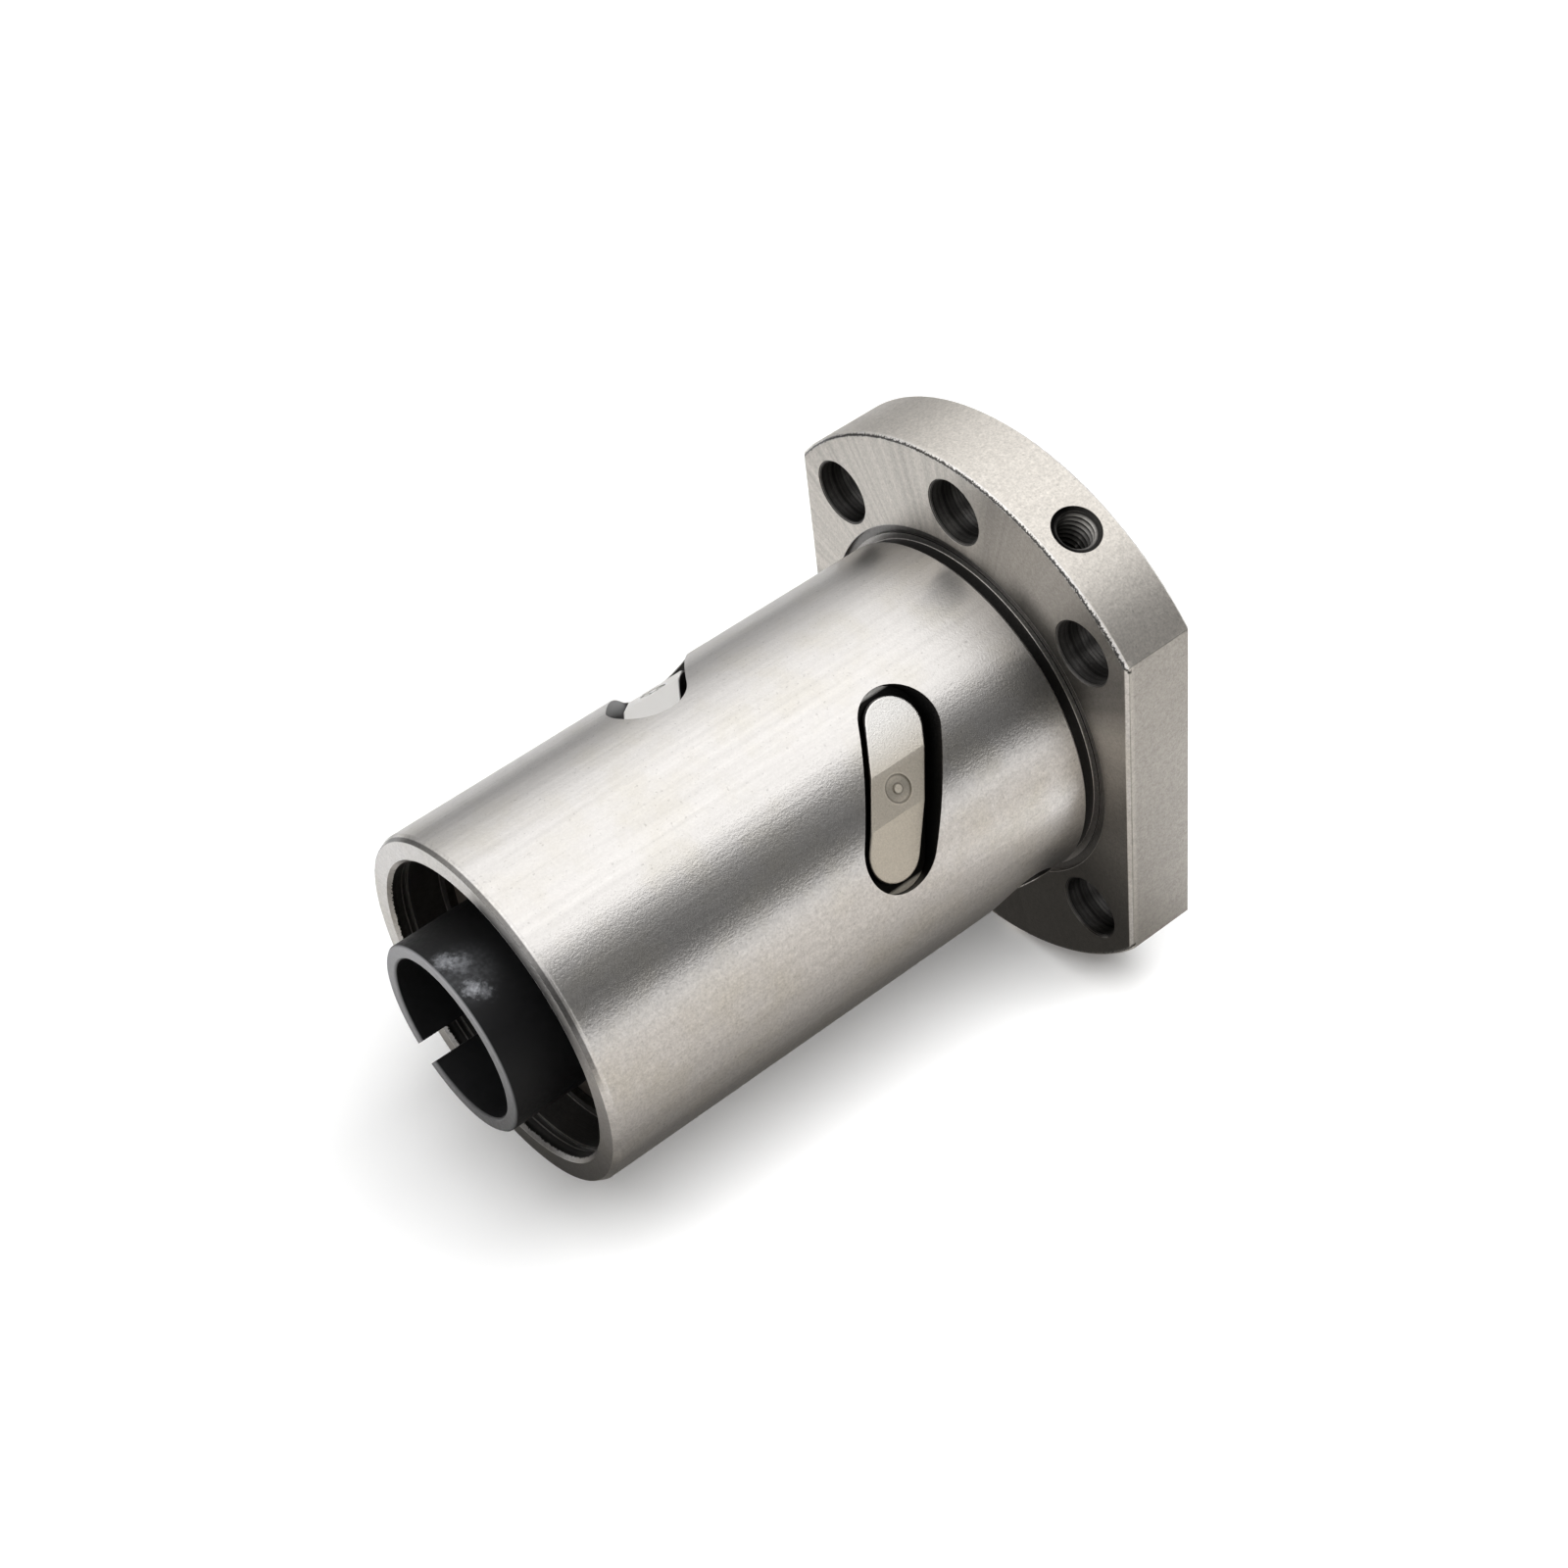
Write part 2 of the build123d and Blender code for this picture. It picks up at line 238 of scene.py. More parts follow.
def mark_worked_surfaces(tree, at, where):
    """Marks where each way of working the steel is."""
    past_root = between(tree, at.x, GROUND_START, BEYOND)
    body = between(tree, at.radius, BODY_RADIUS - SKIN, BODY_RADIUS + 1)
    where.ground = all_of(tree, body, past_root)
    front = between(tree, at.radius, UNDERCUT_RADIUS, FACE_RADIUS)
    where.face = all_of(tree, between(tree, at.x, -0.05, 0.1), front)
    back = between(tree, at.x, FLANGE_BACK - 1, FLANGE_BACK + 0.05)
    back_ring = between(tree, at.radius, SEAT_RADIUS - 0.4, FACE_RADIUS)
    where.back_face = all_of(tree, back, back_ring)
    where.turned = any_of(tree, where.face, where.back_face)
    where.rim = between(tree, at.radius, FLANGE_RADIUS - SKIN, BEYOND)
    where.flats = between(tree, at.side, HALF_FLATS - SKIN, BEYOND)
    near_flat = between(tree, at.side, HALF_FLATS - 0.6, BEYOND)
    where.flat_edge = all_of(tree, near_flat, between(tree, at.x, -1.1, 0.1, 0.2))
    end = between(tree, at.x, BODY_END - 0.03, BEYOND)
    face_ring = between(tree, at.radius, END_FACE_INNER, END_FACE_OUTER + 0.05)
    where.end_face = all_of(tree, face_ring, end)
    chamfer = between(tree, at.x, BODY_END - 0.7, BEYOND)
    edge_ring = between(tree, at.radius, END_FACE_OUTER, END_FACE_OUTER + 0.36)
    where.end_edge = all_of(tree, edge_ring, chamfer)


def mark_bolt_holes(tree, at, where):
    """Marks the bolt holes, four on the diagonals, one above and one below, and their
    rims, by the distance from the nearest hole's axis."""
    diagonal = BOLT_CIRCLE_RADIUS * math.sqrt(0.5)
    to_axes = []
    for across, axis in (
        (at.side, (0.0, diagonal, diagonal)),
        (at.y, (0.0, 0.0, BOLT_CIRCLE_RADIUS)),
    ):
        point = add(tree, "ShaderNodeCombineXYZ", {1: across, 2: at.height})
        to_axes.append(add(tree, "ShaderNodeVectorMath", {0: point, 1: axis}, **DISTANCE))
    at.to_bolt = folded(tree, "MINIMUM", to_axes)
    under_face = between(tree, at.x, FLANGE_BACK + 0.02, -0.02, 0.01)
    wall = BOLT_RADIUS + 0.15
    where.holes = all_of(tree, between(tree, at.to_bolt, 0.0, wall), under_face)
    rims = between(tree, at.to_bolt, wall, BOLT_RADIUS + 0.5)
    where.hole_rims = all_of(tree, rims, under_face)


def mark_port(tree, at, where):
    """Marks the lubrication port, by the distance from its axis, and its shaded side."""
    outward = add(tree, "ShaderNodeVectorMath", {0: at.mm, 1: PORT_OUTWARD}, **DOT_PRODUCT)
    sideways = add(
        tree, "ShaderNodeVectorMath", {0: at.mm, 1: PORT_SIDEWAYS}, **DOT_PRODUCT
    )
    offset = add(tree, "ShaderNodeMath", {0: at.x, 1: -PORT_X}, operation="ADD")
    spoke = add(tree, "ShaderNodeCombineXYZ", {1: offset, 2: sideways})
    at.to_port = add(tree, "ShaderNodeVectorMath", {0: spoke}, **LENGTH)
    wall = between(tree, at.to_port, 0.0, PORT_RADIUS + 0.36)
    where.port = all_of(tree, wall, between(tree, outward, PORT_WALL_FROM, PORT_WALL_TO))
    slanted = add(
        tree, "ShaderNodeMath", {0: sideways, 1: 0.75, 2: offset}, operation="MULTIPLY_ADD"
    )
    shade = add(tree, "ShaderNodeMapRange", {0: slanted, 1: -1.8, 2: 1.4})
    where.port_shade = all_of(tree, where.port, shade)


def mark_recesses(tree, at, where):
    """Marks the deflectors' pockets, the groove at the root, the ring cut in the flange's
    face, and the free end's counterbore with its ragged mouth and the lips of its
    grooves."""
    pocket_wall = between(tree, at.radius, WITHIN_BORE, BODY_RADIUS - 0.12)
    pocketed = between(tree, at.x, POCKETS_START, POCKETS_END)
    where.pockets = all_of(tree, pocket_wall, pocketed)
    groove_wall = between(tree, at.radius, BODY_RADIUS - 5, BODY_RADIUS - 0.05)
    where.groove = all_of(tree, groove_wall, between(tree, at.x, 0.05, ROOT_GROOVE_END))
    undercut = between(tree, at.radius, BODY_RADIUS, UNDERCUT_RADIUS)
    where.ring = all_of(tree, undercut, between(tree, at.x, -0.24, -0.04))
    where.ring_floor = all_of(tree, undercut, between(tree, at.x, -0.8, -0.3))

    fray = uneven(tree, at.mm, (2.5,) * 3, 2.0, 0.6)
    frayed = add(tree, "ShaderNodeMath", {0: fray, 1: 0.9, 2: at.x}, operation="MULTIPLY_ADD")
    seat = between(tree, at.radius, WITHIN_BORE, SEAT_RADIUS + 0.45)
    inside = between(tree, frayed, WIPER_FACE, BODY_END - 0.05)
    where.inside = all_of(tree, seat, inside)
    mouth = between(tree, at.radius, SEAT_RADIUS - 0.9, END_FACE_INNER, 0.15)
    at_end = between(tree, at.x, BODY_END - 1, BODY_END + 0.1, 0.2)
    where.mouth = all_of(tree, mouth, at_end)
    lip = 0.2
    lip_starts = (MOUTH_GROOVE_START - lip, MOUTH_GROOVE_END, RING_GROOVE_END)
    lips = [between(tree, at.x, start, start + lip) for start in lip_starts]
    where.lips = all_of(tree, where.inside, any_of(tree, *lips))


def mark_painted_shade(tree, at, where):
    """Marks where shade is painted: on the flange's face on its upper side towards +Y, darker
    against the body and in a band low on that side, and below the body; on the free end's
    face low down, and along its inner edge beside the arbor on its upper side towards +Y; on
    the upper side of that face's outer edge; low down in its mouth; and on the far side of
    the undercut's ring and of the land inside it."""
    upper = add(tree, "ShaderNodeMapRange", {0: at.toward_z, 1: 0.2, 2: 0.4})
    below = add(tree, "ShaderNodeMapRange", {0: at.toward_z, 1: -0.25, 2: -0.6})
    beside = all_of(tree, between(tree, at.toward_y, 0.15, 0.89, 0.05), upper)
    corner = between(tree, at.toward_y, 0.38, 0.82, 0.07)
    against_body = between(tree, at.radius, BODY_RADIUS - 5, BODY_RADIUS + 5, 1.6)
    thick = between(tree, at.toward_y, 0.77, 0.89, 0.03)
    where.face_beside = all_of(tree, where.face, beside)
    where.face_corner = all_of(tree, where.face, corner, against_body, upper)
    where.face_thick = all_of(tree, where.face, thick, upper)
    where.face_below = all_of(tree, where.face, below)

    low_end = add(tree, "ShaderNodeMapRange", {0: at.z, 1: -5.0, 2: -22.0})
    inner = {0: at.radius, 1: END_FACE_OUTER, 2: END_FACE_INNER}
    inner = add(tree, "ShaderNodeMapRange", inner)
    where.end_low = all_of(tree, where.end_face, low_end)
    where.end_inner = all_of(tree, where.end_face, beside, inner)
    where.edge_upper = all_of(tree, where.end_edge, upper)
    where.mouth_low = all_of(tree, where.mouth, low_end)

    collar = between(tree, at.radius, BODY_RADIUS - 0.4, UNDERCUT_RADIUS)
    far_side = add(tree, "ShaderNodeMapRange", {0: at.toward_y, 1: 0.3, 2: -0.1})
    where.collar = all_of(tree, collar, between(tree, at.x, -0.8, 0.1), far_side)


def steel_patterns(tree, at):
    """The patterns that working the steel leaves on it."""
    wall = add(tree, "ShaderNodeCombineXYZ", {0: at.x, 1: at.to_bolt})
    profile = add(tree, "ShaderNodeCombineXYZ", {0: at.x, 1: at.radius})
    return SimpleNamespace(
        # Speckle about 0.3 mm across, the real grit's being too fine to show
        speckle=uneven(tree, at.mm, (3.2,) * 3, 3.0, 0.65),
        mottle=uneven(tree, at.mm, (1.4,) * 3, 3.0, 0.7),
        pores=uneven(tree, at.mm, (2.2,) * 3, 1.0, 0.5),
        # Streaks along the ground body, about 0.8 mm apart round it
        bands=uneven(tree, at.mm, (0.03, 1.2, 1.2), 3.0, 0.6),
        # Painted reflection: rays of light and dark across the turned face, about 2 degrees
        # apart round the axis
        rays=uneven(tree, at.spread, (26.0,) * 3, 3.0, 0.6),
        # Coarse marks of the drill round the walls of the bolt holes
        drilled=uneven(tree, wall, (1.7,) * 3, 2.0, 0.6),
        # Rings left by the turning tool, 0.3 mm apart, as lines round the axis
        rings=uneven(tree, profile, (3.3,) * 3, 2.0, 0.6),
        stains=uneven(tree, at.mm, (0.12,) * 3, 4.0, 0.6),
        scratches=uneven(tree, at.mm, (0.9, 0.9, 7.0), 3.0, 0.7),
    )


def steel_relief(tree, where, pattern):
    """Height in micrometres: each pattern's depth where it applies."""
    everywhere = {0: pattern.speckle, 1: 4.0}
    relief = add(tree, "ShaderNodeMath", everywhere, operation="MULTIPLY")
    for marks, mask, depth in (
        (pattern.bands, where.ground, 12.0),
        (pattern.rings, where.turned, 5.0),
        (pattern.rings, where.inside, 30.0),
        (pattern.drilled, where.holes, 120.0),
        (pattern.speckle, where.ground, 24.0),
        (pattern.speckle, where.rim, 14.0),
        (pattern.speckle, where.face, 16.0),
        (pattern.speckle, where.flats, 14.0),
        (pattern.scratches, where.flats, 14.0),
    ):
        cut = add(tree, "ShaderNodeMath", {0: mask, 1: depth}, operation="MULTIPLY")
        heights = {0: marks, 1: cut, 2: relief}
        relief = add(tree, "ShaderNodeMath", heights, operation="MULTIPLY_ADD")
    return relief


def steel_grain(tree, at, where, pattern):
    """Tone of the patterns, about 1: speckle, pores, streaks, painted rays of reflection,
    drill marks, and painted shade in the port's thread.
    """
    grit = add(tree, "ShaderNodeMix", {0: 0.4, 2: pattern.speckle, 3: pattern.mottle})
    tone = add(tree, "ShaderNodeMapRange", {0: grit, 1: 0.34, 2: 0.66, 3: 0.8, 4: 1.18})
    # The speckle shows most on the ground body's lower side, least where it shines on top
    shine = add(tree, "ShaderNodeMapRange", {0: at.toward_z, 1: 0.5, 2: 0.85, 4: 0.7})
    on_body = all_of(tree, where.ground, shine)
    faint = any_of(tree, on_body, all_of(tree, where.back_face, 0.5))
    tone = add(tree, "ShaderNodeMix", {0: faint, 2: tone, 3: 1.0})
    speck = add(tree, "ShaderNodeMapRange", {0: pattern.pores, 1: 0.67, 2: 0.77})
    tone = levelled(tree, tone, speck, 0.8)
    streaks = {0: pattern.bands, 1: 0.3, 2: 0.7, 3: 0.94, 4: 1.05}
    streaks = add(tree, "ShaderNodeMapRange", streaks)
    tone = patterned(tree, tone, streaks, where.ground)
    # Painted reflection: rays across the flange's face, strongest on its side towards -Y, and
    # half as strong on the back face
    rays = {0: pattern.rays, 1: 0.36, 2: 0.64, 3: 0.8, 4: 1.04}
    rays = add(tree, "ShaderNodeMapRange", rays)
    fan = add(
        tree, "ShaderNodeMapRange", {0: at.toward_y, 1: -0.15, 2: 0.4, 3: 1.0, 4: 0.3}
    )
    on_face = all_of(tree, where.face, fan)
    fanned = any_of(tree, on_face, all_of(tree, where.back_face, 0.5))
    rayed = folded(tree, "MULTIPLY", (tone, rays))
    tone = add(tree, "ShaderNodeMix", {0: fanned, 2: tone, 3: rayed})
    drilled = {0: pattern.drilled, 1: 0.38, 2: 0.62, 3: 0.3, 4: 1.0}
    drilled = add(tree, "ShaderNodeMapRange", drilled)
    tone = patterned(tree, tone, drilled, where.holes)
    # Painted shade: the port's thread is darkened towards its roots, so it is brightest along
    # its crest
    crest_from, crest_to = THREAD_CREST + 0.02, THREAD_CREST + 0.36
    crest = {0: at.to_port, 1: crest_from, 2: crest_to, 3: 1.0, 4: 0.06}
    crest = add(tree, "ShaderNodeMapRange", crest)
    return patterned(tree, tone, crest, where.port)


def steel_tone(tree, at, where, pattern):
    """Tone of the steel: its grain, then the level of each surface, then painted shade and
    painted highlights on them.
    """
    # The front edge of the rim, ragged from the turning tool: painted shade as a dark line
    # along it, and a painted highlight as a bright line beside it
    ragged = {0: pattern.speckle, 1: 0.7, 2: at.radius}
    ragged = add(tree, "ShaderNodeMath", ragged, operation="MULTIPLY_ADD")
    edge_line = between(tree, ragged, FLANGE_RADIUS - 0.2, FLANGE_RADIUS + 0.06, 0.05)
    front_edge_shade = all_of(tree, edge_line, between(tree, at.x, -0.8, 0.1, 0.1))
    glint_line = between(tree, ragged, FLANGE_RADIUS + 0.1, FLANGE_RADIUS + 0.32, 0.04)
    front_glint = all_of(tree, glint_line, between(tree, at.x, -0.6, 0.1, 0.1))
    tone = steel_grain(tree, at, where, pattern)
    for mask, level in (
        # Painted shade in the recesses: the groove at the root, the undercut's ring and its
        # floor, and the far side of the land inside it
        (where.groove, 0.035),
        (where.ring, 0.08),
        (where.ring_floor, 0.45),
        (where.collar, 0.45),
        # Painted shade in the pockets, in the port and more so on its one side, and in the
        # bolt holes and on their rims
        (where.pockets, 0.06),
        (where.port, 0.8),
        (where.port_shade, 0.1),
        (where.holes, 0.22),
        (where.hole_rims, 0.15),
        # Painted shade in the counterbore and its mouth, more so low down, with painted
        # highlights along the lips of its grooves
        (where.inside, 0.11),
        (where.lips, 4.5),
        (where.mouth, 0.6),
        (where.mouth_low, 0.35),
        # The free end's face at its level, with painted shade low down, along its inner edge
        # and on the upper side of its outer edge
        (where.end_face, 0.7),
        (where.end_low, 0.38),
        (where.end_inner, 0.13),
        (where.edge_upper, 0.3),
        # The flange's face at its level, with painted shade beside the body, against it, in a
        # band on its side and below it
        (where.face, 0.8),
        (where.face_beside, 0.72),
        (where.face_corner, 0.4),
        (where.face_thick, 0.55),
        (where.face_below, 0.4),
        (where.back_face, 0.85),
        (where.flats, 0.65),
        # Painted highlight along the front edge of the flats
        (where.flat_edge, 1.2),
        # Painted shade and painted highlight along the rim's front edge
        (front_edge_shade, 0.12),
        (front_glint, 1.25),
    ):
        tone = levelled(tree, tone, mask, level)
    return tone


def ground_steel():
    """Hardened bearing steel, turned, then ground where it seats: satin, finely speckled,
    its reflections drawn out along the ground body, painted rays of reflection across the
    turned flange face, matt milled flats and rim, painted shade in its recesses and holes,
    and painted highlights along some edges."""
    material, tree, shader, mm = shaded_material("ground bearing steel")
    at = nut_places(tree, mm)
    where = SimpleNamespace()
    mark_worked_surfaces(tree, at, where)
    mark_bolt_holes(tree, at, where)
    mark_port(tree, at, where)
    mark_recesses(tree, at, where)
    mark_painted_shade(tree, at, where)
    pattern = steel_patterns(tree, at)

    relief = {"Distance": 0.001 * MM, "Height": steel_relief(tree, where, pattern)}
    bump = add(tree, "ShaderNodeBump", {"Strength": 1.0, **relief})
    tree.links.new(bump, shader.inputs["Normal"])

    # Oil leaves the steel stained, and the unground flange a little browner
    stained = add(tree, "ShaderNodeMapRange", {0: pattern.stains, 1: 0.45, 2: 0.7})
    paler_colour, stain, oil = linear("#cfccc9"), linear("#cbc7c0"), linear("#cdc8c1")
    metal = add(tree, "ShaderNodeMix", {0: stained, 6: paler_colour, 7: stain}, **COLOURS)
    oiled = any_of(tree, where.turned, where.rim, where.flats)
    metal = add(tree, "ShaderNodeMix", {0: oiled, 6: metal, 7: oil}, **COLOURS)
    tone = steel_tone(tree, at, where, pattern)
    metal = add(tree, "ShaderNodeVectorMath", {0: metal, "Scale": tone}, operation="SCALE")
    tree.links.new(metal, shader.inputs["Base Color"])

    rough = add(
        tree, "ShaderNodeMapRange", {0: pattern.stains, 1: 0.3, 2: 0.7, 3: 0.28, 4: 0.31}
    )
    recess = any_of(tree, where.groove, where.ring, where.pockets, where.holes, where.port)
    for mask, more in (
        (where.flats, 0.18),
        (where.rim, 0.18),
        (where.turned, 0.04),
        (recess, 0.12),
        (where.inside, 0.1),
    ):
        values = {0: mask, 1: more, 2: rough}
        rough = add(tree, "ShaderNodeMath", values, operation="MULTIPLY_ADD")
    tree.links.new(rough, shader.inputs["Roughness"])

    # Fine marks run round the axis, so light spreads along X on the body and along the
    # radius on the faces
    along_x = (1.0, 0.0, 0.0)
    grain = add(tree, "ShaderNodeVectorMath", {0: at.spread, 1: along_x}, operation="ADD")
    tree.links.new(grain, shader.inputs["Tangent"])
    shader.inputs["Anisotropic"].default_value = 0.7
    shader.inputs["Metallic"].default_value = 1.0
    return material


def round_mark_tone(tree, mm):
    """Tone of the round mark in the middle of each deflector's face, by the distance from
    it: painted shade in its corners, painted highlights on its pip and along its rim."""
    to_marks = []
    for number, angle in enumerate(MARK_ANGLES):
        angle = math.radians(angle)
        mark_x = FIRST_MARK_X + MARK_STEP * number
        spot = (mark_x, MARK_RADIUS * math.cos(angle), MARK_RADIUS * math.sin(angle))
        to_marks.append(add(tree, "ShaderNodeVectorMath", {0: mm, 1: spot}, **DISTANCE))
    to_mark = folded(tree, "MINIMUM", to_marks)
    tones = []
    for distance, half_width, gain in (
        (0.2, 0.3, 0.2),
        (0.66, 0.12, -0.3),
        (1.74, 0.13, -0.35),
        (1.98, 0.08, 0.12),
    ):
        line = {0: to_mark, 1: distance, 2: half_width}
        line = add(tree, "ShaderNodeMath", line, operation="COMPARE")
        line = {0: line, 1: gain, 2: 1.0}
        tones.append(add(tree, "ShaderNodeMath", line, operation="MULTIPLY_ADD"))
    return folded(tree, "MULTIPLY", tones)


def cast_insert_steel():
    """Steel deflector, pressed and sintered, as formed: matte light grey, faintly
    pebbled, with darker pores, browned by oil, with a painted highlight making it paler where
    it faces up, and painted shade below its face in the pocket."""
    material, tree, shader, mm = shaded_material("sintered insert steel")
    # Pores about 0.25 mm across
    pores = uneven(tree, mm, (4.0,) * 3, 5.0, 0.7)
    pore, grain, paler_colour = linear("#aaa294"), linear("#e8e0d2"), linear("#fbf9f6")
    tone = add(tree, "ShaderNodeMix", {0: pores, 6: pore, 7: grain}, **COLOURS)
    across = add(
        tree, "ShaderNodeVectorMath", {0: mm, 1: (0.0, 1.0, 1.0)}, operation="MULTIPLY"
    )
    spread = add(tree, "ShaderNodeVectorMath", {0: across}, operation="NORMALIZE")
    # Painted highlight: paler where the face turns up
    up = (0.0, -0.3, 1.0)
    upward = add(tree, "ShaderNodeVectorMath", {0: spread, 1: up}, **DOT_PRODUCT)
    upper = add(tree, "ShaderNodeMapRange", {0: upward, 1: 0.486, 2: 0.707, 4: 0.95})
    tone = add(tree, "ShaderNodeMix", {0: upper, 6: tone, 7: paler_colour}, **COLOURS)
    # Painted shade below the face, in the pocket, times the round mark's painted shade and
    # highlights
    radius = add(tree, "ShaderNodeVectorMath", {0: across}, **LENGTH)
    pocket_shade = {0: radius, 1: MARK_RADIUS - 0.16, 2: MARK_RADIUS, 3: 0.02, 4: 1.0}
    pocket_shade = add(tree, "ShaderNodeMapRange", pocket_shade)
    level = folded(tree, "MULTIPLY", (pocket_shade, round_mark_tone(tree, mm)))
    tone = add(tree, "ShaderNodeVectorMath", {0: tone, "Scale": level}, operation="SCALE")
    tree.links.new(tone, shader.inputs["Base Color"])
    pebbles = {"Strength": 1.0, "Distance": 0.05 * MM, "Height": pores}
    tree.links.new(add(tree, "ShaderNodeBump", pebbles), shader.inputs["Normal"])
    shader.inputs["Metallic"].default_value = 1.0
    shader.inputs["Roughness"].default_value = 0.42
    return material


def bearing_steel():
    """Lapped chrome steel of the balls: bright, with faint lapping marks."""
    material, tree, shader, mm = shaded_material("lapped chrome steel")
    # Marks about 1 mm across, the real ones being too fine to show
    marks = uneven(tree, mm, (0.9,) * 3, 3.0, 0.5)
    rough = add(tree, "ShaderNodeMapRange", {0: marks, 3: 0.08, 4: 0.18})
    tree.links.new(rough, shader.inputs["Roughness"])
    shader.inputs["Base Color"].default_value = linear("#d8d8d6")
    shader.inputs["Metallic"].default_value = 1.0
    return material


def wiper_polymer():
    """Moulded brown-black polyoxymethylene of the wipers: dull, slightly mottled."""
    material, tree, shader, mm = shaded_material("moulded wiper polymer")
    # Mottle about 1.7 mm across
    mottle = uneven(tree, mm, (0.6,) * 3, 4.0, 0.5)
    dark, light = linear("#2a241f"), linear("#4a4038")
    tone = add(tree, "ShaderNodeMix", {0: mottle, 6: dark, 7: light}, **COLOURS)
    tree.links.new(tone, shader.inputs["Base Color"])
    shader.inputs["Roughness"].default_value = 0.5
    return material


def spring_steel():
    """Blued spring steel of the retaining rings: dark, unevenly blued."""
    material, tree, shader, mm = shaded_material("blued spring steel")
    # Patches about 0.8 mm across
    marks = uneven(tree, mm, (1.2,) * 3, 4.0, 0.5)
    dark, light = linear("#2c2c2c"), linear("#5a5854")
    tone = add(tree, "ShaderNodeMix", {0: marks, 6: dark, 7: light}, **COLOURS)
    tree.links.new(tone, shader.inputs["Base Color"])
    shader.inputs["Metallic"].default_value = 1.0
    shader.inputs["Roughness"].default_value = 0.35
    return material


def painted_glints_tone(tree, mm, scuffs, tone):
    """The arbor's tone, with painted glints in spots on top of its free end and a faint
    painted sheen round them. Each spot is full within 1.6 mm of its middle and gone at its
    reach, and the scuffs add up to 3 mm to that distance."""
    # Specks about 0.6 mm across
    specks = uneven(tree, mm, (1.7,) * 3, 1.5, 0.5)
    specks = add(tree, "ShaderNodeMapRange", {0: specks, 1: 0.36, 2: 0.68, 3: 0.45, 4: 1.0})
    # The first spot is a broad faint painted sheen, the others painted glints
    for spot, reach, level in (
        ((82.6, 3.2, 13.1), 7.5, 0.09),
        ((83.6, 0.5, 13.5), 3.4, 0.5),
        ((82.3, 1.9, 13.3), 3.6, 0.26),
        ((83.1, 5.5, 12.3), 3.1, 0.55),
        ((82.2, 6.4, 11.9), 3.1, 0.24),
    ):
        from_spot = add(tree, "ShaderNodeVectorMath", {0: mm, 1: spot}, **DISTANCE)
        spot_distance = {0: scuffs, 1: 3.0, 2: from_spot}
        spot_distance = add(tree, "ShaderNodeMath", spot_distance, operation="MULTIPLY_ADD")
        painted_glint = add(
            tree,
            "ShaderNodeMapRange",
            {0: spot_distance, 1: reach, 2: 1.6, 4: level},
            interpolation_type="SMOOTHERSTEP",
        )
        painted_glint = all_of(tree, painted_glint, specks)
        mixed = {0: painted_glint, 6: tone, 7: linear("#a9abb0")}
        tone = add(tree, "ShaderNodeMix", mixed, **COLOURS)
    return tone


def arbor_plastic():
    """Extruded black polyethylene tube of the arbor: satin, paler on its sawn ends, there
    with painted light palest at the top and to the back, and with painted glints in speckled
    spots on top of its free end, in a faint painted sheen."""
    material, tree, shader, mm = shaded_material("extruded black polyethylene")
    # Scuffs about 0.7 mm across
    scuffs = uneven(tree, mm, (1.5,) * 3, 6.0, 0.7)
    dark, light = linear("#050506"), linear("#121213")
    tone = add(tree, "ShaderNodeMix", {0: scuffs, 6: dark, 7: light}, **COLOURS)
    tone = painted_glints_tone(tree, mm, scuffs, tone)

    x = add(tree, "ShaderNodeSeparateXYZ", {0: mm}, output="X")
    along = add(tree, "ShaderNodeMath", {0: x, 1: ARBOR_MIDDLE}, operation="SUBTRACT")
    along = add(tree, "ShaderNodeMath", {0: along}, operation="ABSOLUTE")
    sawn = add(tree, "ShaderNodeMapRange", {0: along, 1: SAWN_FROM, 2: SAWN_WHOLE, 4: 0.9})
    # The sawn ends are paler than the tube, and painted light makes them palest at the top
    # and to the back
    up_and_back = (0.0, -0.5, 0.87)
    upward = add(tree, "ShaderNodeVectorMath", {0: mm, 1: up_and_back}, **DOT_PRODUCT)
    upper = add(tree, "ShaderNodeMapRange", {0: upward, 1: -14.0, 2: 14.0})
    low, high = linear("#535353"), linear("#a2a2a4")
    cut = add(tree, "ShaderNodeMix", {0: upper, 6: low, 7: high}, **COLOURS)
    tone = add(tree, "ShaderNodeMix", {0: sawn, 6: tone, 7: cut}, **COLOURS)
    tree.links.new(tone, shader.inputs["Base Color"])

    rough = add(tree, "ShaderNodeMapRange", {0: scuffs, 1: 0.3, 2: 0.7, 3: 0.4, 4: 0.6})
    tree.links.new(rough, shader.inputs["Roughness"])
    shader.inputs["Specular IOR Level"].default_value = 0.22
    rubs = {"Strength": 0.3, "Distance": 0.02 * MM, "Height": scuffs}
    tree.links.new(add(tree, "ShaderNodeBump", rubs), shader.inputs["Normal"])
    return material


steel = ground_steel()
finishes = {
    "nut_body": steel,
    "deflector": cast_insert_steel(),
    "balls": bearing_steel(),
    "wiper": wiper_polymer(),
    "retaining_ring": spring_steel(),
    "shipping_arbor": arbor_plastic(),
}
for name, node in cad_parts.items():
    for start, finish in finishes.items():
        if name.startswith(start):
            node.material_slots[0].material = finish


def surface_mesh(name, points, faces, material):
    """Puts arrays of points, in metres, and faces into a mesh object of that finish."""
    mesh = bpy.data.meshes.new(name)
    mesh.from_pydata(points.tolist(), [], faces.tolist())
    mesh.polygons.foreach_set("use_smooth", np.full(len(faces), True))
    mesh.materials.append(material)
    mesh.update()
    piece = bpy.data.objects.new(name, mesh)
    bpy.context.scene.collection.objects.link(piece)
    return piece


